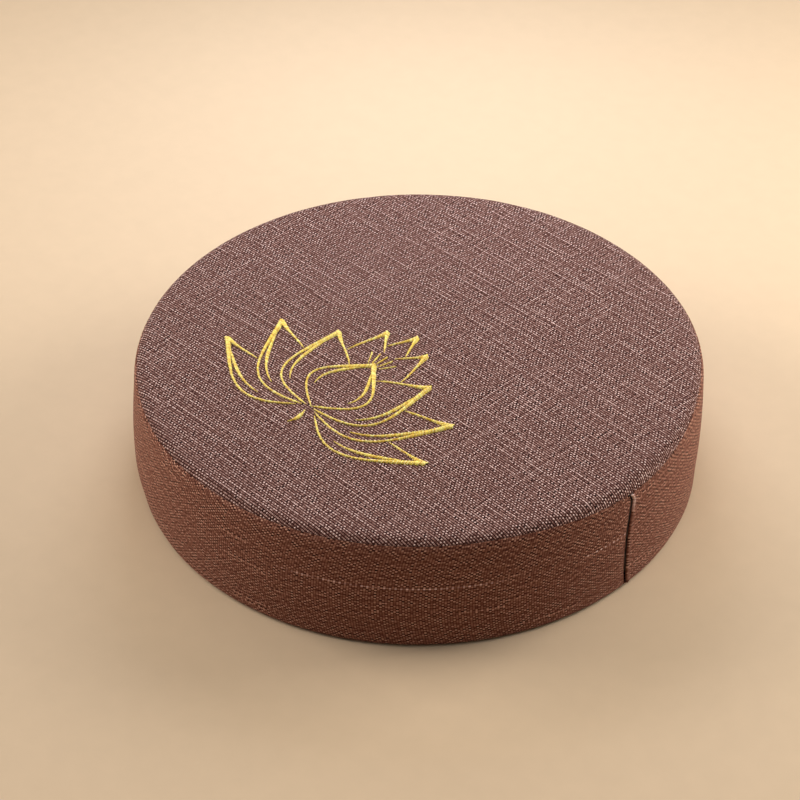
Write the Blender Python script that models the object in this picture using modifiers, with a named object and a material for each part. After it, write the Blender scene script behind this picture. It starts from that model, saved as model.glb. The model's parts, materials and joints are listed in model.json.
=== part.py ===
"""A round meditation cushion: one firm filled body in a cover sewn from three pieces of cloth.

The cover is a round top panel that rolls over the rim, one strip round the side whose ends meet in an
upright join near +X, and a round bottom panel that the cushion rests on. Metres, +Z up, the origin at
the centre of the flat underside, and +Y the way the top panel's grain points.
"""

import math

import bmesh
import bpy
from mathutils import Vector

# Driving dimensions, in metres.
DIAMETER = 0.400
RIM_HEIGHT = 0.0923
CROWN = 0.003
BAND_SWELL = 0.0017
TOP_ROUND = 0.0091
FOOT_ROUND = 0.0051
CLOTH = 0.0015
CLEARANCE = 0.00035

# The two seams: how far round each rounding they sit from level cloth, and the shallow dip they draw.
TOP_SEAM_ANGLE = math.radians(52)
FOOT_SEAM_ANGLE = math.radians(35)
SEAM_SLIT = 0.0004
SEAM_DIP = 0.0006

# The upright join in the band, and how far it strays towards +Y at its foot, middle and top.
JOIN_SLIT = 0.0005
JOIN_STRAY = {"foot": -0.0017, "middle": -0.0042, "top": 0.0035}
JOIN_CUT_DEPTH = 0.012
JOIN_CUT_OVERRUN = 0.005

# The places where the cushion stands out more or less than a turned one, at its rim and low on its side, or
# rolls over more softly. Bearings run from +X towards +Y.
SWELLS = (
    {"bearing": math.radians(226), "half_width": math.radians(42), "rim": -0.0006, "side": 0.0026},
    {"bearing": math.radians(54), "half_width": math.radians(35), "rim": 0.0012, "side": -0.0018},
)
SOFT_RIM = {"bearing": math.radians(280), "half_width": math.radians(70), "drop": 0.0012}
SOFT_RIM_REACH = 0.009
FOOT_FADE = 0.022

# How many straight pieces stand for each curve.
STEPS_ROUND = 64
STEPS_CROWN = 4
STEPS_TOP_ROUND = 3
STEPS_SHOULDER = 2
STEPS_BAND = 6
STEPS_FOOT_ROUND = 2
STEPS_JOIN = 6

MERGE_DISTANCE = 0.00001
SHARP_ANGLE = math.radians(40)
RIM_RADIUS = DIAMETER / 2 - BAND_SWELL
CLOTH_COLOUR = (0.205, 0.118, 0.098)
BODY_COLOUR = (0.560, 0.520, 0.460)


def clear_scene():
    for thing in list(bpy.data.objects):
        bpy.data.objects.remove(thing, do_unlink=True)


def new_collection(name):
    collection = bpy.data.collections.new(name)
    bpy.context.scene.collection.children.link(collection)
    return collection


def soft_material(name, colour):
    material = bpy.data.materials.new(name)
    material.use_nodes = True
    shader = material.node_tree.nodes["Principled BSDF"]
    shader.inputs["Base Color"].default_value = (*colour, 1.0)
    shader.inputs["Roughness"].default_value = 0.9
    shader.inputs["Metallic"].default_value = 0.0
    return material


def spread(start, end, steps):
    """The values that divide start to end into equal steps, both ends included."""
    return [start + (end - start) * i / steps for i in range(steps + 1)]


def crown_point(radius):
    """A point of the gently crowned top, between the axis and the rim's rounding."""
    share = radius / (RIM_RADIUS - TOP_ROUND)
    return Vector((radius, 0, RIM_HEIGHT + CROWN * (1 - share * share)))


def top_round_point(angle, dip=0.0):
    """A point of the rim's rounding, at an angle round it from level cloth."""
    reach = TOP_ROUND - dip
    across = RIM_RADIUS - TOP_ROUND + reach * math.sin(angle)
    return Vector((across, 0, RIM_HEIGHT - TOP_ROUND + reach * math.cos(angle)))


def band_point(share):
    """A point of the swelling side, from the rim at share 0 down to the foot at share 1."""
    height = (RIM_HEIGHT - TOP_ROUND) * (1 - share) + FOOT_ROUND * share
    return Vector((RIM_RADIUS + BAND_SWELL * math.sin(math.pi * share), 0, height))


def foot_round_point(angle, dip=0.0):
    """A point of the lower rounding, at an angle round it from the level underside."""
    reach = FOOT_ROUND - dip
    across = RIM_RADIUS - FOOT_ROUND + reach * math.sin(angle)
    return Vector((across, 0, FOOT_ROUND - reach * math.cos(angle)))


def top_panel_line():
    """The top panel's outer line, from the axis out and down to the top seam."""
    crown = [crown_point(r) for r in spread(0, RIM_RADIUS - TOP_ROUND, STEPS_CROWN)]
    roll = [top_round_point(a) for a in spread(0, TOP_SEAM_ANGLE, STEPS_TOP_ROUND)]
    return crown + roll[1:-1] + [top_round_point(TOP_SEAM_ANGLE, SEAM_DIP)]


def side_band_line():
    """The band's outer line, from the top seam down the side to the foot seam."""
    shoulder = [top_round_point(a) for a in spread(TOP_SEAM_ANGLE, math.pi / 2, STEPS_SHOULDER)]
    side = [band_point(share) for share in spread(0, 1, STEPS_BAND)]
    tuck = [foot_round_point(a) for a in spread(math.pi / 2, FOOT_SEAM_ANGLE, STEPS_FOOT_ROUND)]
    return (
        [top_round_point(TOP_SEAM_ANGLE, SEAM_DIP)]
        + shoulder[1:-1]
        + side
        + tuck[1:-1]
        + [foot_round_point(FOOT_SEAM_ANGLE, SEAM_DIP)]
    )


def bottom_panel_line():
    """The bottom panel's outer line, from the foot seam under the cushion to the axis."""
    turn = [foot_round_point(a) for a in spread(FOOT_SEAM_ANGLE, 0, STEPS_FOOT_ROUND)]
    return [foot_round_point(FOOT_SEAM_ANGLE, SEAM_DIP)] + turn[1:] + [Vector((0, 0, 0))]


def shortened(line, at_start=False, at_end=False):
    """The line with half a seam slit taken off the ends named."""
    line = [point.copy() for point in line]
    if at_start:
        line[0] += (line[1] - line[0]).normalized() * SEAM_SLIT / 2
    if at_end:
        line[-1] += (line[-2] - line[-1]).normalized() * SEAM_SLIT / 2
    return line


def body_line():
    """The filled body's line from axis to axis: the cover's whole line, moved in by the cloth and a gap."""
    cover = top_panel_line() + side_band_line()[1:] + bottom_panel_line()[1:]
    depth = CLOTH + CLEARANCE
    line = [cover[0] + Vector((0, 0, -depth))]
    for before, point, after in zip(cover, cover[1:], cover[2:]):
        first = (point - before).normalized()
        second = (after - point).normalized()
        along = (first + second).normalized()
        inward = Vector((along.z, 0, -along.x))
        line.append(point + inward * depth / along.dot(second))
    return line + [cover[-1] + Vector((0, 0, depth))]


def turned(name, line, collection):
    """The line turned once round the axis."""
    mesh = bpy.data.meshes.new(name)
    mesh.from_pydata(line, [(i, i + 1) for i in range(len(line) - 1)], [])
    piece = bpy.data.objects.new(name, mesh)
    collection.objects.link(piece)
    screw = piece.modifiers.new("Turn", "SCREW")
    screw.steps = STEPS_ROUND
    screw.render_steps = STEPS_ROUND
    screw.use_merge_vertices = True
    screw.merge_threshold = MERGE_DISTANCE
    return piece


def thicken(piece):
    solidify = piece.modifiers.new("Cloth", "SOLIDIFY")
    solidify.thickness = CLOTH
    solidify.offset = -1
    solidify.use_even_offset = True
    solidify.use_quality_normals = True


def join_stray(height):
    """How far the upright join strays towards +Y at a height, on one smooth curve."""
    t = height / RIM_HEIGHT
    foot = JOIN_STRAY["foot"] * (2 * t - 1) * (t - 1)
    middle = JOIN_STRAY["middle"] * 4 * t * (1 - t)
    top = JOIN_STRAY["top"] * t * (2 * t - 1)
    return foot + middle + top


def join_cutter(collection):
    """A thin upright blade along the join, as deep as the cloth and a little past both edges."""
    mesh = bpy.data.meshes.new("join_cutter")
    grid = bmesh.new()
    bmesh.ops.create_grid(grid, x_segments=1, y_segments=STEPS_JOIN, size=1.0)
    for corner in grid.verts:
        across = DIAMETER / 2 + corner.co.x * JOIN_CUT_DEPTH
        height = RIM_HEIGHT / 2 + corner.co.y * (RIM_HEIGHT / 2 + JOIN_CUT_OVERRUN)
        corner.co = Vector((across, join_stray(height), height))
    grid.to_mesh(mesh)
    grid.free()
    cutter = bpy.data.objects.new("join_cutter", mesh)
    collection.objects.link(cutter)
    blade = cutter.modifiers.new("Blade", "SOLIDIFY")
    blade.thickness = JOIN_SLIT
    blade.offset = 0
    cutter.hide_render = True
    cutter.display_type = "WIRE"
    return cutter


def cut(piece, cutter):
    slit = piece.modifiers.new("Join", "BOOLEAN")
    slit.operation = "DIFFERENCE"
    slit.solver = "EXACT"
    slit.object = cutter


def window(bearing, centre, half_width):
    """1 at the centre bearing, easing to 0 at half_width from it."""
    away = math.remainder(bearing - centre, 2 * math.pi)
    if abs(away) >= half_width:
        return 0.0
    return math.cos(math.pi / 2 * away / half_width) ** 2


def eased(share):
    """The share kept between 0 and 1, leaving both ends gently."""
    share = min(1.0, max(0.0, share))
    return share * share * (3 - 2 * share)


def unevenness(point):
    """How far the cushion's own unevenness moves a point: fuller or flatter sides and a softer rim."""
    radius = math.hypot(point.x, point.y)
    if radius < MERGE_DISTANCE:
        return Vector((0, 0, 0))
    bearing = math.atan2(point.y, point.x)
    outward = Vector((point.x, point.y, 0)) / radius
    rise = 0.0
    for s in SWELLS:
        here = s["side"] + (s["rim"] - s["side"]) * eased(point.z / RIM_HEIGHT)
        rise += here * window(bearing, s["bearing"], s["half_width"])
    swell = outward * rise * (radius / RIM_RADIUS) ** 2 * eased(point.z / FOOT_FADE)
    from_rim = math.hypot(radius - RIM_RADIUS, point.z - RIM_HEIGHT) / SOFT_RIM_REACH
    drop = SOFT_RIM["drop"] * window(bearing, SOFT_RIM["bearing"], SOFT_RIM["half_width"])
    soften = (outward + Vector((0, 0, 1))).normalized() * drop * math.exp(-from_rim * from_rim)
    return swell - soften


def settle(piece):
    """Makes the piece's shape final and gives it the cushion's unevenness."""
    depsgraph = bpy.context.evaluated_depsgraph_get()
    mesh = bpy.data.meshes.new_from_object(piece.evaluated_get(depsgraph))
    piece.modifiers.clear()
    piece.data = mesh
    for vertex in mesh.vertices:
        vertex.co += unevenness(vertex.co)
    mesh.shade_smooth()
    mesh.set_sharp_from_angle(angle=SHARP_ANGLE)


def build():
    clear_scene()
    parts = new_collection("meditation_cushion")
    cutters = new_collection("cutters")

    top = turned("top_panel", shortened(top_panel_line(), at_end=True), parts)
    thicken(top)

    band = turned("side_band", shortened(side_band_line(), at_start=True, at_end=True), parts)
    thicken(band)
    cut(band, join_cutter(cutters))

    bottom = turned("bottom_panel", shortened(bottom_panel_line(), at_start=True), parts)
    thicken(bottom)

    body = turned("cushion_body", body_line(), parts)

    for piece, colour in (
        (top, CLOTH_COLOUR),
        (band, CLOTH_COLOUR),
        (bottom, CLOTH_COLOUR),
        (body, BODY_COLOUR),
    ):
        settle(piece)
        piece.data.materials.clear()
        piece.data.materials.append(soft_material(piece.name, colour))


build()
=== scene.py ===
"""The looks of a round meditation cushion: its sewn cloth cover, its filling and the gold flower on top.

Metres, +Z up, the origin at the centre of the flat underside, in the same frame as the model. The cover's
section is the model's own, drawn more finely and with a top seam that drops near the side's join. The flower
stands along +Y, and the join is at +X.
"""

import json
import math

import bpy
import numpy as np
from mathutils import Matrix, Vector, noise

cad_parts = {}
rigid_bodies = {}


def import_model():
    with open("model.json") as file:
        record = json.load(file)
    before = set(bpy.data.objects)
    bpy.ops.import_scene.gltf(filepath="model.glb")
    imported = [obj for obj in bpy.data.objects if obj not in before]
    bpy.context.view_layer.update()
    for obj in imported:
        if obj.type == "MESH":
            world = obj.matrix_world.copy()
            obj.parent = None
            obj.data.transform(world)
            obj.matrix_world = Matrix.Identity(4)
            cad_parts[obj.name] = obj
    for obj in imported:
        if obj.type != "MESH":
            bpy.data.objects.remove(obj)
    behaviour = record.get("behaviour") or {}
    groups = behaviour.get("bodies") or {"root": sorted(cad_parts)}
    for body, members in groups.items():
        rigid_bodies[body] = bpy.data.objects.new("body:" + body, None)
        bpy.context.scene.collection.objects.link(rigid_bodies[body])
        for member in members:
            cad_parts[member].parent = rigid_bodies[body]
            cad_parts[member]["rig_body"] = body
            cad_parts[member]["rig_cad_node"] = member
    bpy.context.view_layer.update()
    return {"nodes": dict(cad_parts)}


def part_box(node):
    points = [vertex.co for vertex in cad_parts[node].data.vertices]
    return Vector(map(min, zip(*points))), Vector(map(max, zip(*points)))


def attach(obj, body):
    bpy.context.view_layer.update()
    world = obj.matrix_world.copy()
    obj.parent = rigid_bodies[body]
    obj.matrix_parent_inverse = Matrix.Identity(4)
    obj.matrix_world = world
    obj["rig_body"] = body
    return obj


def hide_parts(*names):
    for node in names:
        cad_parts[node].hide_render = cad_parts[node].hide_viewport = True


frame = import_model()

MM = 0.001
TINY = MM / 1000

# The cushion's section. The first two sizes are read from the model.
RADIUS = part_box("side_band")[1].x
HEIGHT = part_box("top_panel")[1].z
CROWN = 3.0 * MM
BAND_SWELL = 1.7 * MM
TOP_ROUND = 9.1 * MM
FOOT_ROUND = 5.1 * MM
RIM_RADIUS = RADIUS - BAND_SWELL
RIM_HEIGHT = HEIGHT - CROWN
CROWN_RADIUS = RIM_RADIUS - TOP_ROUND

# The seams: how far round each rounding they sit from level cloth, how much further the top one drops near
# the join, and how the cloth turns in at them.
TOP_SEAM_ANGLE = math.radians(52)
FOOT_SEAM_ANGLE = math.radians(35)
SEAM_PULL = {"bearing": math.radians(2), "half_width": math.radians(34), "angle": math.radians(31)}
SEAM_LEVELS = 8
SEAM_GAP = 0.12 * MM
LIP_RADIUS = 0.36 * MM
LIP_TURN = math.radians(75)
LIP_STEPS = 4
LIP_SETBACK = LIP_RADIUS + SEAM_GAP / 2
CLOTH = 0.8 * MM

# Which rounding a lip lies on, and whether its piece reaches the seam going outwards or inwards.
AT_RIM, AT_FOOT = 1, -1
OUTWARDS, INWARDS = 1, -1

# The upright join of the band's two ends, much as in the model. At its top it hooks back under the seam, and
# its right-hand end folds up to a ridge, highest there.
JOIN_STRAY = {"foot": -0.4 * MM, "middle": -4.5 * MM, "top": 4.4 * MM}
JOIN_HOOK = {"start": 15.0 * MM, "end": 6.5 * MM, "across": -6.0 * MM, "fade": 14.0 * MM, "rise": 1.3}
JOIN_WAVE = 0.60 * MM
JOIN_WAVE_LENGTH = 9.0 * MM
JOIN_WAVE_ROW = 5.3
JOIN_GAP = 0.75 * MM
JOIN_LIP = 1.1 * MM
JOIN_RIDGE = 0.70 * MM
JOIN_RIDGE_WIDTH = 1.5 * MM
JOIN_DENT = 0.8 * MM
JOIN_DENT_WIDTH = 4.0 * MM

# The cushion's own unevenness, as in the model, and a finer waviness of the cloth, which fades at its seams.
SWELLS = (
    {"bearing": math.radians(226), "half_width": math.radians(42), "rim": -0.6 * MM, "side": 2.6 * MM},
    {"bearing": math.radians(54), "half_width": math.radians(35), "rim": 1.2 * MM, "side": -1.8 * MM},
)
SOFT_RIM = {"bearing": math.radians(280), "half_width": math.radians(70), "drop": 1.2 * MM}
SOFT_RIM_REACH = 9.0 * MM
FOOT_FADE = 22.0 * MM
WAVE = 0.22 * MM
WAVE_LENGTH = 34.0 * MM
PUCKER = 0.14 * MM
PUCKER_LENGTH = 7.5 * MM
PUCKER_REACH = 5.0 * MM
PUCKER_ROW = 3.1
SEAM_FADE = 3 * MM

# How finely each piece is drawn. The band's columns stand closer at its ends, at these distances from them.
TOP_CROWN_RINGS = 76
TOP_ROLL_RINGS = 16
BOTTOM_FLAT_RINGS = 34
BAND_COLUMNS = 720
BAND_END_COLUMNS = [d * MM for d in (0, 0.08, 0.2, 0.38, 0.6, 0.9, 1.3, 1.9, 2.8, 4.0, 5.4)]
BAND_ROWS = 26
ROLL_ROWS = 5
SHOULDER_ROWS = 6

# The filling is blown up as cloth from a slightly smaller copy of the model's body.
FILL_SHRINK = 1.6 * MM
FILL_VOXEL = 6.0 * MM
FILL_PRESSURE = 4.0
FILL_FRAMES = 20
FILL_CAP = 1.3 * MM

# The flower: a lotus that is the same on both sides of its middle line. Petals run from the front one to the
# back one, in millimetres and degrees: where it starts, its heading from straight up, its length, its half
# widths towards the middle and away from it, how far its tip curls up, and the share of the outer width at
# which a second line runs inside it.
PETALS = (
    {"base": (0, 2), "heading": 0, "length": 64, "inner": 27, "outer": 27, "curl": 0, "echo": 0.70},
    {"base": (4, 1), "heading": 36, "length": 86, "inner": 22, "outer": 26, "curl": 9, "echo": 0.74},
    {"base": (7, -1), "heading": 64, "length": 98, "inner": 18, "outer": 22, "curl": 16, "echo": 0.70},
    {"base": (10, -4), "heading": 91, "length": 92, "inner": 12, "outer": 19, "curl": 20, "echo": 0.62},
    {"base": (3, 24), "heading": 15, "length": 78, "inner": 17, "outer": 16, "curl": 3, "echo": 0},
    {"base": (0, 34), "heading": 0, "length": 77, "inner": 14, "outer": 14, "curl": 0, "echo": 0},
)
PETAL_STEPS = 130
PETAL_CLEARANCE = 2.0
PETAL_LEAN = 0.84
PETAL_TAPER = 1.22
ECHO_SPAN = (0.32, 0.86)
SHORTEST_RUN = 8

# The stem, and the seed head with its stamens, which stands behind the petals up to the number given.
STEM = {"start": (0, -4), "length": 17, "bow": 2.0, "points": 30}
SEED_HEAD = {"base": (0, 56), "reach": 24, "half_angle": 44, "behind": 3, "points": 40}
STAMENS = {"count": 5, "spread": 0.72, "start": 11, "length": 12, "points": 24}

# Each kind of line: its widths in millimetres, and where along it the thick part lies. Open ends taper.
BRUSH = {
    "tip": {"thin": 1.7, "thick": 4.6, "peak": 0.97, "spread": 0.26},
    "side": {"thin": 1.7, "thick": 3.3, "peak": 0.60, "spread": 0.30},
    "echo": {"thin": 1.2, "thick": 2.9, "peak": 0.60, "spread": 0.30},
    "stamen": {"thin": 1.2, "thick": 3.4, "peak": 0.93, "spread": 0.12},
    "stem": {"thin": 1.3, "thick": 3.4, "peak": 0.45, "spread": 0.30},
}
BRUSH_TAPER = 9.0
BRUSH_END = 0.3
FLOWER_SCALE = 0.95 * MM
FLOWER_PLACE = Vector((-8.0 * MM, -97.0 * MM))

# Satin stitches: threads laid side by side across each line, over a low padding. A thread's arch is drawn at
# five places across the line, and its section there has three points.
STITCH_SPACING = 0.62 * MM
STITCH_RADIUS = 0.36 * MM
STITCH_PADDING = 0.40 * MM
STITCH_ARCH = 0.30
STITCH_ROUNDNESS = 2.5
STITCH_SLANT = 0.50
STITCH_JITTER = 0.34 * MM
STITCH_JITTER_SHARE = 0.42
STITCH_ACROSS = (-1.0, -0.72, 0.0, 0.72, 1.0)
STITCH_SECTION = ((-1.0, -0.35), (0.0, 1.0), (1.0, -0.35))
STITCH_SEED = 7

# The cloth: a plain weave whose upright threads run along the cloth's v and whose cross threads run along u.
# Noise read a step apart gives each thread its own run, and the two sets start at seeds far from each other.
UPRIGHT_PITCH = 1.22 * MM
CROSS_PITCH = 1.85 * MM
THREAD_DRIFT = 0.45 * MM
DRIFT_SCALE = 90.0
THREAD_STEP = 7.31
UPRIGHT_SEED = 31.7
CROSS_SEED = 377.1
STREAK_STRETCH = 0.06
SLUB_SHADE = 0.5

# A thread's roundness across and along where it shows, and the stretches over which the gaps deepen and
# shade is painted into the gaps and pits.
THREAD_ROUND = 2.0
THREAD_ENDS = 4.0
GAP_RANGE = (0.10, 0.48)
PIT_SHADE_RANGE = (0.05, 0.55)
WEAVE_DEPTH = 0.6 * MM

# How the weave reads on each piece, as the light falls along it on top and across it on the side: the tones
# of its two sets of threads, its streaks, flecks and slubs, the depth of the gaps between its rows and the
# shade painted into them, the shade painted into its pits, the strength of its bump, its lighter threads,
# and a painted shade over the whole piece that darkens and reddens the side.
TOP_LOOK = {
    "upright": 0.42,
    "cross": 0.70,
    "streak": 0.42,
    "fleck": 0.38,
    "slub_upright": 0.20,
    "slub_cross": 0.22,
    "slub_cover": 0.30,
    "slub_range": (0.61, 0.68),
    "slub_stretch": 0.022,
    "gap": 0.70,
    "pit_shade": 0.20,
    "bump": 1.0,
    "light_threads": (),
    "painted_shade": (1.0, 1.0, 1.0),
}
BAND_LOOK = {
    "upright": 0.38,
    "cross": 0.70,
    "streak": 0.10,
    "fleck": 0.44,
    "slub_upright": 0.50,
    "slub_cross": 0.0,
    "slub_cover": 0.90,
    "slub_range": (0.73, 0.75),
    "slub_stretch": 0.018,
    "gap": 0.15,
    "pit_shade": 0.55,
    "bump": 0.5,
    "light_threads": (
        {"column": 28, "middle": 1085 * MM, "reach": 88 * MM},
        {"column": 30, "middle": 1236 * MM, "reach": 24 * MM},
    ),
    # Painted shade over the whole side: darker and redder than the top cloth.
    "painted_shade": (0.70, 0.53, 0.42),
}

# The few lighter threads: how light they are, and the share of their reach at which they start to fade.
LIGHT_THREAD = 0.42
LIGHT_THREAD_FULL = 0.7

# A highlight painted along the fold's edge at the join's right: how far down from the seam and how wide it
# reaches, the shares of both at which it starts to fade, and how light it is.
FOLD_HIGHLIGHT = {"depth": 24.0 * MM, "width": 2.3 * MM, "full_depth": 0.4, "full_width": 0.6, "light": 0.60}

# Colours by how light a place is, from dark to light.
# For the cloth, how light a place is takes in the shade painted into its pits and gaps.
CLOTH_SHADES = (
    (0.00, (0.021, 0.005, 0.003)),
    (0.15, (0.079, 0.024, 0.017)),
    (0.35, (0.201, 0.089, 0.072)),
    (0.60, (0.423, 0.239, 0.203)),
    (0.95, (0.868, 0.622, 0.565)),
)
GOLD_SHADES = (
    (0.30, (0.72, 0.42, 0.040)),
    (0.50, (1.00, 0.76, 0.100)),
    (0.70, (1.00, 0.95, 0.340)),
)
FILLING_SHADES = ((0.3, (0.50, 0.46, 0.40)), (0.7, (0.62, 0.58, 0.52)))
FLOOR_COLOUR = (0.60, 0.45, 0.30)
FLOOR_SHADES = ((0.3, 0.985), (0.7, 1.015))
FLOOR_REACH = 3.0

# The camera, fitted to the photograph: it looks along the diagonal from (+X, -Y). Radians and metres, and
# millimetres for the lens and the sensor.
CAMERA = {
    "elevation": 0.6868,
    "distance": 1.8325,
    "right": -0.0125,
    "up": 0.0379,
    "roll": -0.0069,
    "lens": 114.54,
    "sensor": 36.0,
}

# Soft square lights round the cushion: degrees from +X and above the floor, metres away and across, watts.
LIGHTS = {
    "back": {"bearing": 135, "elevation": 40, "distance": 0.7, "size": 0.4, "energy": 3.2},
    "right": {"bearing": 60, "elevation": 24, "distance": 1.2, "size": 0.7, "energy": 15.0},
    "left": {"bearing": 212, "elevation": 25, "distance": 1.8, "size": 1.0, "energy": 27.4},
    "front": {"bearing": -45, "elevation": 60, "distance": 1.8, "size": 1.3, "energy": 5.8},
    "above": {"bearing": 0, "elevation": 90, "distance": 1.8, "size": 1.6, "energy": 8.2},
}
LIGHT_COLOURS = {
    "back": (0.79, 0.86, 1.00),
    "right": (1.00, 0.96, 0.90),
    "left": (1.00, 0.94, 0.87),
    "front": (1.00, 1.00, 0.99),
    "above": (1.00, 0.94, 0.85),
}
SURROUNDINGS = (0.055, 0.050, 0.045)


# ---------------------------------------------------------------- the section


def crown_line():
    """The crowned top from the axis outwards, as points of radius and height."""
    shares = np.linspace(0, 1, TOP_CROWN_RINGS + 1)
    return [np.array((CROWN_RADIUS * s, RIM_HEIGHT + CROWN * (1 - s * s))) for s in shares]


def top_round_point(angle):
    across = CROWN_RADIUS + TOP_ROUND * math.sin(angle)
    return np.array((across, RIM_HEIGHT - TOP_ROUND + TOP_ROUND * math.cos(angle)))


def foot_round_point(angle):
    across = RIM_RADIUS - FOOT_ROUND + FOOT_ROUND * math.sin(angle)
    return np.array((across, FOOT_ROUND - FOOT_ROUND * math.cos(angle)))


def band_point(share):
    height = (RIM_HEIGHT - TOP_ROUND) * (1 - share) + FOOT_ROUND * share
    return np.array((RIM_RADIUS + BAND_SWELL * math.sin(math.pi * share), height))


def lip(point, angle, place, way):
    """The turned-in edge that goes on from a point at an angle round the rim or the foot."""
    outward = np.array((math.sin(angle), place * math.cos(angle)))
    along = way * np.array((math.cos(angle), -place * math.sin(angle)))
    centre = point - outward * LIP_RADIUS
    turns = np.linspace(0, LIP_TURN, LIP_STEPS + 1)[1:]
    return [centre + LIP_RADIUS * (outward * math.cos(t) + along * math.sin(t)) for t in turns]


def top_line(seam_angle=TOP_SEAM_ANGLE):
    """The top panel's section, from the axis over the rim and in at the seam."""
    end = seam_angle - LIP_SETBACK / TOP_ROUND
    roll = [top_round_point(a) for a in np.linspace(0, end, TOP_ROLL_RINGS + 1)[1:]]
    return np.array(crown_line() + roll + lip(roll[-1], end, AT_RIM, OUTWARDS))


def band_line(seam_angle=TOP_SEAM_ANGLE):
    """The band's section, from inside the top seam down the side and in at the foot seam."""
    start = seam_angle + LIP_SETBACK / TOP_ROUND
    end = FOOT_SEAM_ANGLE + LIP_SETBACK / FOOT_ROUND
    shoulder = [top_round_point(a) for a in np.linspace(start, math.pi / 2, SHOULDER_ROWS + 1)[:-1]]
    side = [band_point(s) for s in np.linspace(0, 1, BAND_ROWS + 1)]
    tuck = [foot_round_point(a) for a in np.linspace(math.pi / 2, end, ROLL_ROWS + 1)[1:]]
    upper_lip = lip(shoulder[0], start, AT_RIM, INWARDS)[::-1]
    lower_lip = lip(tuck[-1], end, AT_FOOT, INWARDS)
    return np.array(upper_lip + shoulder + side + tuck + lower_lip)


def bottom_line():
    """The bottom panel's section, from the axis out to the foot seam and in."""
    end = FOOT_SEAM_ANGLE - LIP_SETBACK / FOOT_ROUND
    flat = [np.array((r, 0.0)) for r in np.linspace(0, RIM_RADIUS - FOOT_ROUND, BOTTOM_FLAT_RINGS + 1)]
    turn = [foot_round_point(a) for a in np.linspace(0, end, ROLL_ROWS)[1:]]
    return np.array(flat + turn + lip(turn[-1], end, AT_FOOT, OUTWARDS))


def with_levels(section):
    """The section drawn at every height of the top seam, from its usual place to its lowest."""
    angles = np.linspace(TOP_SEAM_ANGLE, TOP_SEAM_ANGLE + SEAM_PULL["angle"], SEAM_LEVELS)
    return np.array([section(angle) for angle in angles])


def section_points(levels, bearing, index):
    """The section's points at the given places along it, where each bearing has the top seam."""
    pull = window(bearing, SEAM_PULL["bearing"], SEAM_PULL["half_width"]) * (len(levels) - 1)
    low = np.clip(pull.astype(int), 0, max(len(levels) - 2, 0))
    high = np.minimum(low + 1, len(levels) - 1)
    part = (pull - low)[..., None]
    return levels[low, index] * (1 - part) + levels[high, index] * part


def lengths_along(line):
    """How far each point of a line is from its first one, along the line."""
    steps = np.hypot(*np.diff(line, axis=0).T)
    return np.concatenate(([0.0], np.cumsum(steps)))


def cloth_lengths(levels, bearing, index):
    """How far along the cloth each of the section's points is, where each bearing has the top seam."""
    lengths = np.array([lengths_along(line) for line in levels])
    return section_points(lengths[..., None], bearing, index)[..., 0]


# ---------------------------------------------------------------- unevenness


def window(bearing, centre, half_width):
    """1 at the centre bearing, easing to 0 at half_width from it."""
    away = np.remainder(bearing - centre + math.pi, 2 * math.pi) - math.pi
    return np.where(np.abs(away) < half_width, np.cos(math.pi / 2 * away / half_width) ** 2, 0.0)


def eased(share):
    """The share kept between 0 and 1, leaving both ends gently."""
    share = np.clip(share, 0, 1)
    return share * share * (3 - 2 * share)


def uneven(points):
    """The points moved by the cushion's own unevenness: fuller or flatter sides and a softer rim."""
    x, y, z = points.T
    radius = np.maximum(np.hypot(x, y), TINY)
    bearing = np.arctan2(y, x)
    outward = np.stack((x / radius, y / radius, np.zeros_like(x)), axis=1)
    rise = 0.0
    for s in SWELLS:
        here = s["side"] + (s["rim"] - s["side"]) * eased(z / RIM_HEIGHT)
        rise = rise + here * window(bearing, s["bearing"], s["half_width"])
    swell = rise * (radius / RIM_RADIUS) ** 2 * eased(z / FOOT_FADE)
    from_rim = np.hypot(radius - RIM_RADIUS, z - RIM_HEIGHT) / SOFT_RIM_REACH
    drop = SOFT_RIM["drop"] * window(bearing, SOFT_RIM["bearing"], SOFT_RIM["half_width"])
    soften = drop * np.exp(-from_rim * from_rim) / math.sqrt(2)
    moved = points + outward * (swell - soften)[:, None]
    moved[:, 2] -= soften
    return moved


def waviness(points, seam_distance, bearing):
    """How far each point of the cloth stands in or out: long soft waves, and short puckers near a seam."""
    waves = np.array([noise.noise(Vector(p) / WAVE_LENGTH) for p in points]) * WAVE
    around = bearing * RADIUS / PUCKER_LENGTH
    puckers = np.array([noise.noise(Vector((a, PUCKER_ROW, 0))) for a in around])
    rise = waves + PUCKER * puckers * np.exp(-seam_distance / PUCKER_REACH)
    return rise * np.clip(seam_distance / SEAM_FADE, 0, 1)


# ---------------------------------------------------------------- sheets of cloth


def mesh_piece(name, points, faces, uvs=None):
    mesh = bpy.data.meshes.new(name)
    mesh.from_pydata([tuple(p) for p in points], [], faces)
    if uvs is not None:
        corners = np.zeros(len(mesh.loops), np.int32)
        mesh.loops.foreach_get("vertex_index", corners)
        layer = mesh.uv_layers.new(name="cloth")
        layer.data.foreach_set("uv", uvs[corners].astype(np.float32).ravel())
    mesh.shade_smooth()
    piece = bpy.data.objects.new(name, mesh)
    bpy.context.scene.collection.objects.link(piece)
    return piece


def grid_faces(rows, columns):
    """The faces of a grid whose points are listed row by row."""
    corners = [j * columns + i for j in range(rows - 1) for i in range(columns - 1)]
    return [(c, c + 1, c + columns + 1, c + columns) for c in corners]


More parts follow.
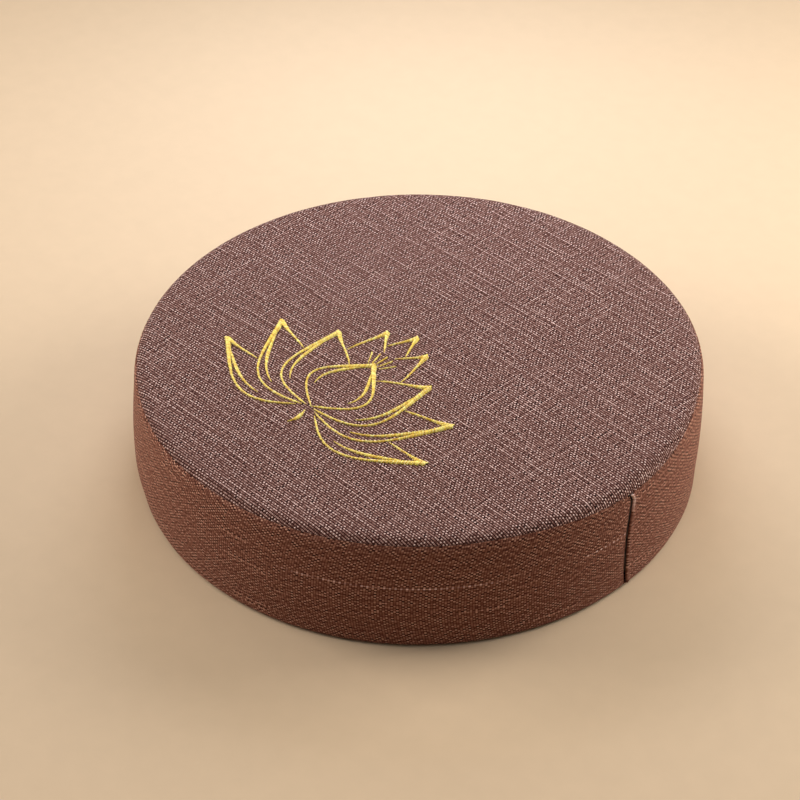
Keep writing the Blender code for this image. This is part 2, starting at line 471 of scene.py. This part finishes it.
def disc_grid(rings):
    """A square grid drawn as a disc: each grid point's ring and bearing."""
    side = np.arange(-rings, rings + 1)
    a, b = np.meshgrid(side, side)
    a, b = a.ravel(), b.ravel()
    ring = np.maximum(np.abs(a), np.abs(b))
    wide = np.abs(a) >= np.abs(b)
    slope_wide = np.divide(b, a, out=np.zeros(len(a)), where=(a != 0))
    slope_tall = np.divide(a, b, out=np.zeros(len(a)), where=(b != 0))
    bearing_wide = math.pi / 4 * slope_wide + np.where(a < 0, math.pi, 0)
    bearing_tall = math.pi / 2 - math.pi / 4 * slope_tall + np.where(b < 0, math.pi, 0)
    return ring, np.where(wide, bearing_wide, bearing_tall)


def disc_sheet(name, levels, underside=False):
    """A round sheet with the section given. The underside's faces down and lies without waves."""
    lengths = lengths_along(levels[0])
    rings = len(lengths) - 1
    ring, bearing = disc_grid(rings)
    faces = grid_faces(2 * rings + 1, 2 * rings + 1)
    r, z = section_points(levels, bearing, ring).T
    points = uneven(np.stack((r * np.cos(bearing), r * np.sin(bearing), z), axis=1))
    if underside:
        faces = [face[::-1] for face in faces]
    else:
        points[:, 2] += waviness(points, lengths[-1] - lengths[ring], bearing)
    flat = cloth_lengths(levels, bearing, ring)
    uvs = np.stack((flat * np.cos(bearing), flat * np.sin(bearing)), axis=1)
    return mesh_piece(name, points, faces, uvs)


def join_stray(height):
    """How far the join strays towards +Y at a height."""
    t = height / RIM_HEIGHT
    foot = JOIN_STRAY["foot"] * (2 * t - 1) * (t - 1)
    middle = JOIN_STRAY["middle"] * 4 * t * (1 - t)
    top = JOIN_STRAY["top"] * t * (2 * t - 1)
    return foot + middle + top


def join_hook(height):
    """0 down the join, rising to 1 in its last stretch below the seam."""
    return eased((JOIN_HOOK["start"] - (RIM_HEIGHT - height)) / (JOIN_HOOK["start"] - JOIN_HOOK["end"]))


def join_place(heights, distance):
    """How far towards +Y the band's rows start. The hook and the waver fade with distance from the join."""
    stray = join_stray(np.clip(heights, 0, RIM_HEIGHT))
    waver = np.array([noise.noise(Vector((h / JOIN_WAVE_LENGTH, JOIN_WAVE_ROW, 0))) for h in heights])
    bend = join_hook(heights) * JOIN_HOOK["across"] + waver * JOIN_WAVE
    return stray[:, None] + bend[:, None] * np.exp(-((distance / JOIN_HOOK["fade"]) ** 2))


def join_depth(distance):
    """How far the band's end turns in, at a distance from its end."""
    inside = np.clip(JOIN_LIP - distance, 0, JOIN_LIP)
    return JOIN_LIP - np.sqrt(JOIN_LIP**2 - inside**2)


def join_relief(heights, right, left):
    """How far the band stands out near its ends: both turn in, one past a ridge and one past a dent."""
    ridge = JOIN_RIDGE * (1 + JOIN_HOOK["rise"] * join_hook(heights)[:, None])
    out = -join_depth(right) - join_depth(left)
    out += ridge * np.exp(-((right - JOIN_RIDGE_WIDTH) / JOIN_RIDGE_WIDTH) ** 2)
    out -= JOIN_DENT * np.exp(-((left / JOIN_DENT_WIDTH) ** 2))
    return out


def strip_columns(around):
    """How far along the band its columns stand: closer at its two ends and even between them."""
    ends = np.array(BAND_END_COLUMNS)
    middle = np.linspace(ends[-1], around - ends[-1], BAND_COLUMNS)
    return np.concatenate((ends[:-1], middle, around - ends[:-1][::-1]))


def strip_sheet(name, levels):
    """The band: one strip round the side, from the join round to the join again."""
    heights = levels[0][:, 1]
    lengths = lengths_along(levels[0])
    around = 2 * math.pi * RADIUS - JOIN_GAP
    right, index = np.meshgrid(strip_columns(around), np.arange(len(lengths)))
    left = around - right
    rows, columns = right.shape
    bearing = (join_place(heights, np.minimum(right, left)) + right + JOIN_GAP / 2) / RADIUS
    r, z = np.moveaxis(section_points(levels, bearing, index), -1, 0)
    r = r + join_relief(heights, right, left)
    points = uneven(np.stack((r * np.cos(bearing), r * np.sin(bearing), z), axis=2).reshape(-1, 3))
    seam_distance = np.repeat(np.minimum(lengths, lengths[-1] - lengths), columns)
    rise = waviness(points, seam_distance, bearing.ravel())
    points[:, 0] += rise * np.cos(bearing.ravel())
    points[:, 1] += rise * np.sin(bearing.ravel())
    down = cloth_lengths(levels, bearing, index)
    down = down - down[-1] + lengths[-1]
    uvs = np.stack((down, right), axis=2).reshape(-1, 2)
    faces = [(a, d, c, b) for a, b, c, d in grid_faces(rows, columns)]
    return mesh_piece(name, points, faces, uvs)


def apply_modifiers(piece):
    depsgraph = bpy.context.evaluated_depsgraph_get()
    mesh = bpy.data.meshes.new_from_object(piece.evaluated_get(depsgraph))
    piece.modifiers.clear()
    piece.data = mesh


def thicken(piece):
    solidify = piece.modifiers.new("Cloth", "SOLIDIFY")
    solidify.thickness = CLOTH
    solidify.offset = -1
    apply_modifiers(piece)


# ---------------------------------------------------------------- the filling


def body_copy():
    """A copy of the model's body, drawn in a little along its own normals."""
    piece = frame["nodes"]["cushion_body"].copy()
    piece.data = piece.data.copy()
    piece.parent = None
    piece.name = "filled_body"
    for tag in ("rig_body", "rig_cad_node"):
        if tag in piece:
            del piece[tag]
    bpy.context.scene.collection.objects.link(piece)
    remesh = piece.modifiers.new("Even", "REMESH")
    remesh.mode = "VOXEL"
    remesh.voxel_size = FILL_VOXEL
    apply_modifiers(piece)
    normals = [v.normal.copy() for v in piece.data.vertices]
    for vertex, normal in zip(piece.data.vertices, normals):
        vertex.co -= normal * FILL_SHRINK
    return piece


def blow_up(piece):
    """Fills the piece out as cloth under pressure, with each point's move capped."""
    scene = bpy.context.scene
    rest = np.array([v.co for v in piece.data.vertices])
    cloth = piece.modifiers.new("Filling", "CLOTH")
    cloth.settings.use_pressure = True
    cloth.settings.uniform_pressure_force = FILL_PRESSURE
    cloth.settings.effector_weights.gravity = 0
    cloth.point_cache.frame_start = 1
    cloth.point_cache.frame_end = FILL_FRAMES
    for number in range(1, FILL_FRAMES + 1):
        scene.frame_set(number)
    apply_modifiers(piece)
    scene.frame_set(1)
    moved = np.array([v.co for v in piece.data.vertices]) - rest
    far = np.maximum(np.linalg.norm(moved, axis=1, keepdims=True), TINY)
    final = rest + moved * np.minimum(1, FILL_CAP / far)
    piece.data.vertices.foreach_set("co", final.astype(np.float32).ravel())


def filled_body():
    piece = body_copy()
    blow_up(piece)
    smooth = piece.modifiers.new("Smooth", "SUBSURF")
    smooth.levels = 1
    smooth.render_levels = 1
    apply_modifiers(piece)
    piece.data.shade_smooth()
    return piece


# ---------------------------------------------------------------- the flower


def petal_fullness(share):
    """A petal's width along its length: 0 at both ends, widest before the middle, drawn in to the tip."""
    share = np.clip(share, 0, 1)
    return np.clip(np.sin(math.pi * share**PETAL_LEAN), 0, 1) ** PETAL_TAPER


def petal_side(petal, mirror, width, start=0.0, end=1.0):
    """A line from a petal's base to its tip at a half width, negative towards the middle, in millimetres."""
    share = np.linspace(start, end, int(PETAL_STEPS * (end - start)) + 1)
    turn = math.radians(petal["heading"])
    across = width * petal_fullness(share) - petal["curl"] * share**2
    along = petal["length"] * share
    x = petal["base"][0] + math.sin(turn) * along + math.cos(turn) * across
    y = petal["base"][1] + math.cos(turn) * along - math.sin(turn) * across
    return np.stack((mirror * x, y), axis=1)


def is_inside(point, outline):
    x, y = point
    x0, y0 = outline.T
    x1, y1 = np.roll(x0, -1), np.roll(y0, -1)
    spans = (y0 > y) != (y1 > y)
    rise = np.where(y1 == y0, 1.0, y1 - y0)
    return bool(np.sum(spans & (x < x0 + (y - y0) / rise * (x1 - x0))) % 2)


def is_covered(point, outlines):
    """Whether a point lies behind one of the outlines or close beside it."""
    return any(is_inside(point, o) or np.min(np.hypot(*(o - point).T)) < PETAL_CLEARANCE for o in outlines)


def open_runs(line, outlines):
    """The stretches of a line that no outline covers, without the shortest."""
    found, run = [], []
    for point in line:
        if is_covered(point, outlines):
            found.append(run)
            run = []
        else:
            run.append(point)
    found.append(run)
    return [np.array(r) for r in found if len(r) > SHORTEST_RUN]


def brush(line, kind, blunt=False):
    """The line with its width at each point, thin at its open ends as a brush leaves it."""
    style = BRUSH[kind]
    along = lengths_along(line)
    share = along / along[-1]
    swelling = np.exp(-(((share - style["peak"]) / style["spread"]) ** 2))
    width = style["thin"] + (style["thick"] - style["thin"]) * swelling
    width = width * np.clip(along / BRUSH_TAPER + BRUSH_END, 0, 1)
    if not blunt:
        width = width * np.clip((along[-1] - along) / BRUSH_TAPER + BRUSH_END, 0, 1)
    return line, width


def echo_widths(petal):
    """Where the second lines inside a petal run: on its outer side, and on both sides of an upright one."""
    width = petal["echo"] * petal["outer"]
    if not width:
        return ()
    return (width, -width) if petal["heading"] == 0 else (width,)


def petal_strokes(petal, mirror, outlines):
    """A petal's lines where the outlines leave them open, and its own outline."""
    sides = [petal_side(petal, mirror, -petal["inner"]), petal_side(petal, mirror, petal["outer"])]
    strokes = []
    for side in sides:
        for run in open_runs(side, outlines):
            at_tip = np.allclose(run[-1], side[-1])
            strokes.append(brush(run, "tip" if at_tip else "side", blunt=at_tip))
    for width in echo_widths(petal):
        for run in open_runs(petal_side(petal, mirror, width, *ECHO_SPAN), outlines):
            strokes.append(brush(run, "echo"))
    return strokes, np.vstack((sides[0], sides[1][::-1]))


def seed_head_outline():
    base = np.array(SEED_HEAD["base"], float)
    half = SEED_HEAD["half_angle"]
    turns = np.radians(np.linspace(-half, half, SEED_HEAD["points"]))
    rim = [base + SEED_HEAD["reach"] * np.array((math.sin(t), math.cos(t))) for t in turns]
    return np.vstack(([base], rim))


def stamen_strokes():
    base = np.array(SEED_HEAD["base"], float)
    shares = np.linspace(-STAMENS["spread"], STAMENS["spread"], STAMENS["count"])
    reach = STAMENS["start"] + STAMENS["length"] * np.linspace(0, 1, STAMENS["points"])
    strokes = []
    for turn in np.radians(shares * SEED_HEAD["half_angle"]):
        heading = np.array((math.sin(turn), math.cos(turn)))
        strokes.append(brush(base + reach[:, None] * heading, "stamen"))
    return strokes


def stem_stroke():
    share = np.linspace(0, 1, STEM["points"])
    x = STEM["start"][0] + STEM["bow"] * np.sin(math.pi * share)
    y = STEM["start"][1] - STEM["length"] * share
    return brush(np.stack((x, y), axis=1), "stem")


def flower_strokes():
    """Every line of the flower, in millimetres from its base."""
    strokes, outlines = [stem_stroke()], []
    for number, petal in enumerate(PETALS):
        mirrors = (1,) if petal["heading"] == 0 else (1, -1)
        drawn = [petal_strokes(petal, mirror, outlines) for mirror in mirrors]
        for lines, outline in drawn:
            strokes += lines
            outlines.append(outline)
        if number == SEED_HEAD["behind"]:
            strokes += stamen_strokes()
            outlines.append(seed_head_outline())
    return strokes


def top_height(x, y):
    """The top cloth's height at a place."""
    share = np.hypot(x, y) / CROWN_RADIUS
    return RIM_HEIGHT + CROWN * (1 - share * share)


def threads_along(line, width):
    """A stroke's threads: each one's middle, its way across the line and half the line's width there."""
    along = lengths_along(line)
    at = np.linspace(0, along[-1], int(along[-1] / STITCH_SPACING) + 1)
    centre = np.stack([np.interp(at, along, line[:, k]) for k in (0, 1)], axis=1)
    tangent = np.gradient(centre, axis=0)
    tangent /= np.linalg.norm(tangent, axis=1, keepdims=True)
    across = np.stack((-tangent[:, 1], tangent[:, 0]), axis=1) + STITCH_SLANT * tangent
    across /= np.linalg.norm(across, axis=1, keepdims=True)
    return zip(centre, across, np.interp(at, along, width) / 2)


def thread_points(centre, across, half, rng):
    """One thread's points: a low arch across the line, whose ends stray a little."""
    along = np.array((across[1], -across[0]))
    reach = half + rng.uniform(-1, 1, 2) * min(STITCH_JITTER, STITCH_JITTER_SHARE * half)
    lift = STITCH_PADDING + STITCH_ARCH * half
    points = []
    for a in STITCH_ACROSS:
        middle = centre + across * a * (reach[0] if a < 0 else reach[1])
        height = lift * math.sqrt(1 - abs(a) ** STITCH_ROUNDNESS)
        if abs(a) == 1:
            height -= STITCH_RADIUS
        for s, h in STITCH_SECTION:
            x, y = middle + along * s * STITCH_RADIUS
            points.append((x, y, height + h * STITCH_RADIUS))
    return points


def thread_faces(first):
    """One thread's faces, round its sections and over its two ends, from its first point's number."""
    ring = len(STITCH_SECTION)
    last = first + (len(STITCH_ACROSS) - 1) * ring
    faces = []
    for start in range(first, last, ring):
        for m in range(ring):
            a, b = start + m, start + (m + 1) % ring
            faces.append((a, a + ring, b + ring, b))
    faces.append(tuple(range(first, first + ring)))
    faces.append(tuple(reversed(range(last, last + ring))))
    return faces


def embroidery():
    """The flower in thread on the top cloth. Each thread's points carry one number, for its shade."""
    rng = np.random.RandomState(STITCH_SEED)
    points, faces = [], []
    for line, width in flower_strokes():
        line = line * FLOWER_SCALE + np.array(FLOWER_PLACE)
        for centre, across, half in threads_along(line, width * FLOWER_SCALE):
            faces += thread_faces(len(points))
            points += thread_points(centre, across, half, rng)
    points = np.array(points)
    points[:, 2] += top_height(points[:, 0], points[:, 1])
    each = len(STITCH_ACROSS) * len(STITCH_SECTION)
    numbers = np.arange(len(points)) // each * each
    uvs = np.stack((numbers, np.zeros(len(points))), axis=1)
    return mesh_piece("embroidery", points, faces, uvs)


# ---------------------------------------------------------------- materials


class Graph:
    """One material and short calls that add nodes to it; each returns the socket to use next."""

    def __init__(self, name):
        self.material = bpy.data.materials.new(name)
        self.material.use_nodes = True
        self.tree = self.material.node_tree
        self.shader = self.tree.nodes["Principled BSDF"]

    def set(self, socket, value):
        if isinstance(value, bpy.types.NodeSocket):
            self.tree.links.new(value, socket)
        elif value is not None:
            socket.default_value = value

    def add(self, kind, values, out=0, **settings):
        node = self.tree.nodes.new(kind)
        for key, value in settings.items():
            setattr(node, key, value)
        for key, value in values.items():
            self.set(node.inputs[key], value)
        return node.outputs[out]

    def math(self, operation, a, b=None, c=None):
        return self.add("ShaderNodeMath", {0: a, 1: b, 2: c}, operation=operation)

    def vector(self, operation, a, b=None, scale=None):
        values = {0: a}
        if b is not None:
            values[1] = b
        if scale is not None:
            values["Scale"] = scale
        return self.add("ShaderNodeVectorMath", values, operation=operation)

    def pair(self, x, y):
        return self.add("ShaderNodeCombineXYZ", {"X": x, "Y": y})

    def split(self, vector):
        node = self.tree.nodes.new("ShaderNodeSeparateXYZ")
        self.set(node.inputs[0], vector)
        return node.outputs[0], node.outputs[1]

    def noise(self, vector, scale=1.0, detail=2.0, dimensions="2D", out="Fac"):
        values = {"Vector": vector, "Scale": scale, "Detail": detail}
        return self.add("ShaderNodeTexNoise", values, out, noise_dimensions=dimensions)

    def random(self, value):
        return self.add("ShaderNodeTexWhiteNoise", {"W": value}, "Value", noise_dimensions="1D")

    def random2(self, vector):
        return self.add("ShaderNodeTexWhiteNoise", {"Vector": vector}, "Value", noise_dimensions="2D")

    def ease(self, value, low, high, to_low=0.0, to_high=1.0):
        values = {"Value": value, "From Min": low, "From Max": high, "To Min": to_low, "To Max": to_high}
        return self.add("ShaderNodeMapRange", values, interpolation_type="SMOOTHSTEP")

    def mix(self, share, a, b):
        node = self.tree.nodes.new("ShaderNodeMix")
        node.data_type = "FLOAT"
        for number, value in ((0, share), (2, a), (3, b)):
            self.set(node.inputs[number], value)
        return node.outputs[0]

    def tinted(self, share, colour, painted_shade):
        node = self.tree.nodes.new("ShaderNodeMix")
        node.data_type = "RGBA"
        node.blend_type = "MULTIPLY"
        for number, value in ((0, share), (6, colour), (7, (*painted_shade, 1.0))):
            self.set(node.inputs[number], value)
        return node.outputs[2]

    def ramp(self, value, stops):
        node = self.tree.nodes.new("ShaderNodeValToRGB")
        self.set(node.inputs[0], value)
        elements = node.color_ramp.elements
        while len(elements) < len(stops):
            elements.new(1.0)
        for element, (place, colour) in zip(elements, stops):
            element.position = place
            element.color = (*colour, 1.0)
        return node.outputs[0]

    def bump(self, height, strength, distance):
        values = {"Height": height, "Strength": strength, "Distance": distance}
        return self.add("ShaderNodeBump", values)

    def surface(self, **values):
        for name, value in values.items():
            self.set(self.shader.inputs[name.replace("_", " ")], value)


def thread_runs(g, index, along, seed, detail):
    """The noise along a thread and along the next one."""
    first = g.math("MULTIPLY_ADD", index, THREAD_STEP, seed)
    return [g.noise(g.pair(g.math("ADD", first, k), along), detail=detail) for k in (0.0, THREAD_STEP)]


def thread_streaks(g, index, along, seed, strength):
    """How much lighter or darker a thread is than the next one, along its length."""
    runs = thread_runs(g, index, g.math("MULTIPLY", along, STREAK_STRETCH), seed, 0.0)
    return g.math("MULTIPLY", g.math("SUBTRACT", *runs), strength)


def thread_slubs(g, index, along, seed, look):
    """1 where a thread is thick and light, in sparse long runs, and less than 0 in its shade beside it."""
    runs = thread_runs(g, index, g.math("MULTIPLY", along, look["slub_stretch"]), seed, 1.0)
    thick, beside = [g.ease(run, *look["slub_range"]) for run in runs]
    return g.math("MULTIPLY_ADD", beside, -SLUB_SHADE, thick)


def light_threads(g, cell, threads):
    """1 where one of the few lighter threads comes up between the cross threads."""
    shown = 0.0
    for thread in threads:
        here = g.math("COMPARE", cell["column"], thread["column"], 0.5)
        away = g.math("ABSOLUTE", g.math("SUBTRACT", cell["v"], thread["middle"]))
        strength = g.ease(away, thread["reach"] * LIGHT_THREAD_FULL, thread["reach"], 1.0, 0.0)
        dash = g.math("MULTIPLY", g.math("MULTIPLY", here, cell["upright"]), strength)
        shown = g.math("ADD", shown, dash)
    return shown


def fold_highlight(g, cell):
    """1 on the fold's painted highlight by the top of the join, fading down the join."""
    width, depth = FOLD_HIGHLIGHT["width"], FOLD_HIGHLIGHT["depth"]
    near = g.ease(cell["v"], width * FOLD_HIGHLIGHT["full_width"], width, 1.0, 0.0)
    high = g.ease(cell["u"], depth * FOLD_HIGHLIGHT["full_depth"], depth, 1.0, 0.0)
    return g.math("MULTIPLY", near, high)


def weave_cell(g):
    """Where a point lies: on the cloth, in threads, in which cell and how far off its middle."""
    uv = g.add("ShaderNodeUVMap", {}, uv_map="cloth")
    drift = g.vector("SUBTRACT", g.noise(uv, DRIFT_SCALE, out="Color"), (0.5, 0.5, 0.5))
    u, v = g.split(g.vector("ADD", uv, g.vector("SCALE", drift, scale=THREAD_DRIFT)))
    x, y = g.math("DIVIDE", u, UPRIGHT_PITCH), g.math("DIVIDE", v, CROSS_PITCH)
    column, row = g.math("FLOOR", x), g.math("FLOOR", y)
    off = [g.math("SUBTRACT", g.math("SUBTRACT", a, b), 0.5) for a, b in ((x, column), (y, row))]
    return {
        "u": u,
        "v": v,
        "x": x,
        "y": y,
        "column": column,
        "row": row,
        "off_x": g.math("ABSOLUTE", off[0]),
        "off_y": g.math("ABSOLUTE", off[1]),
        "upright": g.math("FLOORED_MODULO", g.math("ADD", column, row), 2.0),
    }


def thread_tone(g, cell, look):
    """How light the thread that shows is: its set's tone and streaks, a fleck in each cell and its slubs."""
    column, row, upright = cell["column"], cell["row"], cell["upright"]
    up_streaks = thread_streaks(g, column, cell["y"], UPRIGHT_SEED, look["streak"])
    cross_streaks = thread_streaks(g, row, cell["x"], CROSS_SEED, look["streak"])
    up_tone = g.math("ADD", up_streaks, look["upright"])
    cross_tone = g.math("ADD", cross_streaks, look["cross"])
    beside = g.random2(g.pair(g.math("ADD", column, 1.0), row))
    fleck = g.math("SUBTRACT", g.random2(g.pair(column, row)), beside)
    tone = g.math("MULTIPLY_ADD", fleck, look["fleck"], g.mix(upright, cross_tone, up_tone))
    cover = look["slub_cover"]
    for kind, index, along, seed, slope, base in (
        ("slub_upright", column, cell["y"], UPRIGHT_SEED, cover, 1.0 - cover),
        ("slub_cross", row, cell["x"], CROSS_SEED, -cover, 1.0),
    ):
        if look[kind]:
            shown = g.math("MULTIPLY_ADD", upright, slope, base)
            slub = g.math("MULTIPLY", thread_slubs(g, index, along, seed, look), shown)
            tone = g.math("MULTIPLY_ADD", slub, look[kind], tone)
    return tone


def weave_relief(g, cell, look):
    """The weave's height, and its rows: 1 on a row and less in the gap beside it, which gets painted shade.
    """
    side = g.mix(cell["upright"], cell["off_y"], cell["off_x"])
    end = g.mix(cell["upright"], cell["off_x"], cell["off_y"])
    falls = [
        g.math("POWER", g.math("MULTIPLY", off, 2.0), power)
        for off, power in ((side, THREAD_ROUND), (end, THREAD_ENDS))
    ]
    height = g.math("MULTIPLY", *[g.math("SUBTRACT", 1.0, fall) for fall in falls])
    ridge = g.ease(cell["off_y"], *GAP_RANGE, 1.0, 1.0 - look["gap"])
    return g.math("MULTIPLY", height, ridge), ridge


def cloth_material(name, look):
    g = Graph(name)
    cell = weave_cell(g)
    tone = thread_tone(g, cell, look)
    # The side's copy is darkened and reddened all over as painted shade; its lighter threads and the painted
    # highlight at the fold are left out of it.
    painted_shade_share = 1.0
    if look["light_threads"]:
        lighter = light_threads(g, cell, look["light_threads"])
        # A painted highlight along the fold's edge at the top of the join.
        edge = fold_highlight(g, cell)
        tone = g.math("MULTIPLY_ADD", lighter, LIGHT_THREAD, tone)
        tone = g.math("MULTIPLY_ADD", edge, FOLD_HIGHLIGHT["light"], tone)
        painted_shade_share = g.math("SUBTRACT", 1.0, g.math("MAXIMUM", lighter, edge))
    height, ridge = weave_relief(g, cell, look)
    # Painted shade: darker in the pits between threads and, through the rows, in the gaps between them.
    pit_shade = g.ease(height, *PIT_SHADE_RANGE, look["pit_shade"], 1.0)
    light = g.math("MULTIPLY", tone, g.math("MULTIPLY", pit_shade, ridge))
    g.surface(
        Base_Color=g.tinted(painted_shade_share, g.ramp(light, CLOTH_SHADES), look["painted_shade"]),
        Roughness=0.62,
        Specular_IOR_Level=0.05,
        Sheen_Weight=0.03,
        Sheen_Roughness=0.5,
        Sheen_Tint=(1.0, 0.86, 0.82, 1.0),
        Normal=g.bump(height, look["bump"], WEAVE_DEPTH),
    )
    return g.material


def gold_material():
    """Silky thread, with fine fibres and a shade of its own for each stitch."""
    g = Graph("gold_thread")
    place = g.add("ShaderNodeTexCoord", {}, "Object")
    fibre = g.noise(place, scale=2600.0, dimensions="3D")
    number, _ = g.split(g.add("ShaderNodeUVMap", {}, uv_map="cloth"))
    shade = g.math("MULTIPLY", g.math("ADD", fibre, g.random(number)), 0.5)
    g.surface(
        Base_Color=g.ramp(shade, GOLD_SHADES),
        Roughness=0.32,
        Specular_IOR_Level=0.8,
        Normal=g.bump(fibre, strength=0.35, distance=0.05 * MM),
    )
    return g.material


def filling_material():
    g = Graph("plain_filling")
    place = g.add("ShaderNodeTexCoord", {}, "Object")
    lint = g.noise(place, scale=420.0, detail=4.0, dimensions="3D")
    g.surface(
        Base_Color=g.ramp(lint, FILLING_SHADES),
        Roughness=0.95,
        Normal=g.bump(lint, strength=0.4, distance=0.5 * MM),
    )
    return g.material


def floor_material():
    g = Graph("plain_floor")
    place = g.add("ShaderNodeTexCoord", {}, "Object")
    grain = g.noise(place, scale=60.0, detail=3.0, dimensions="3D")
    stops = [(at, tuple(c * shade for c in FLOOR_COLOUR)) for at, shade in FLOOR_SHADES]
    g.surface(Base_Color=g.ramp(grain, stops), Roughness=0.9)
    return g.material


# ---------------------------------------------------------------- the object


def dress(piece, material, slot, *nodes):
    piece.data.materials.clear()
    piece.data.materials.append(material)
    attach(piece, "root")
    if nodes:
        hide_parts(*nodes)


def build_object():
    cloth = cloth_material("slub_cloth", TOP_LOOK)
    band_cloth = cloth_material("slub_cloth_with_painted_shade", BAND_LOOK)

    top = disc_sheet("top_cover", with_levels(top_line))
    thicken(top)
    dress(top, cloth, "cover_cloth", "top_panel")

    side = strip_sheet("side_cover", with_levels(band_line))
    thicken(side)
    dress(side, band_cloth, "cover_cloth", "side_band")

    bottom = disc_sheet("bottom_cover", bottom_line()[None], underside=True)
    thicken(bottom)
    dress(bottom, cloth, "cover_cloth", "bottom_panel")

    body = filled_body()
    dress(body, filling_material(), "body_filling", "cushion_body")

    flower = embroidery()
    dress(flower, gold_material(), "gold_thread")


# ---------------------------------------------------------------- floor, light, camera


def build_floor():
    half = FLOOR_REACH
    corners = ((-half, -half, 0), (half, -half, 0), (half, half, 0), (-half, half, 0))
    floor = mesh_piece("floor", corners, [(0, 1, 2, 3)])
    floor.data.materials.append(floor_material())


def area_light(name, colour, bearing, elevation, distance, size, energy):
    """A soft square light that looks at the cushion's middle."""
    light = bpy.data.lights.new(name, "AREA")
    light.size = size
    light.energy = energy
    light.color = colour
    lamp = bpy.data.objects.new(name, light)
    lamp.visible_camera = False
    bearing, elevation = math.radians(bearing), math.radians(elevation)
    flat = math.cos(elevation)
    towards = Vector((flat * math.cos(bearing), flat * math.sin(bearing), math.sin(elevation)))
    lamp.location = towards * distance + Vector((0, 0, HEIGHT / 2))
    lamp.rotation_euler = towards.to_track_quat("Z", "Y").to_euler()
    bpy.context.scene.collection.objects.link(lamp)


def build_light():
    for name, row in LIGHTS.items():
        area_light(name, LIGHT_COLOURS[name], **row)
    world = bpy.data.worlds.new("studio")
    world.use_nodes = True
    world.node_tree.nodes["Background"].inputs["Color"].default_value = (*SURROUNDINGS, 1.0)
    bpy.context.scene.world = world


def build_camera():
    c = CAMERA
    right = Vector((1, 1, 0)).normalized()
    away = Vector((-1, 1, 0)).normalized()
    ahead = away * math.cos(c["elevation"]) - Vector((0, 0, math.sin(c["elevation"])))
    up = away * math.sin(c["elevation"]) + Vector((0, 0, math.cos(c["elevation"])))
    x_axis = right * math.cos(c["roll"]) + up * math.sin(c["roll"])
    y_axis = up * math.cos(c["roll"]) - right * math.sin(c["roll"])
    data = bpy.data.cameras.new("camera")
    data.lens = c["lens"]
    data.sensor_width = c["sensor"]
    camera = bpy.data.objects.new("camera", data)
    turn = Matrix((x_axis, y_axis, -ahead)).transposed().to_4x4()
    place = -ahead * c["distance"] + right * c["right"] + up * c["up"]
    camera.matrix_world = Matrix.Translation(place) @ turn
    bpy.context.scene.collection.objects.link(camera)
    bpy.context.scene.camera = camera


build_camera()
build_object()
build_floor()
build_light()
bpy.context.scene.view_settings.view_transform = "Standard"
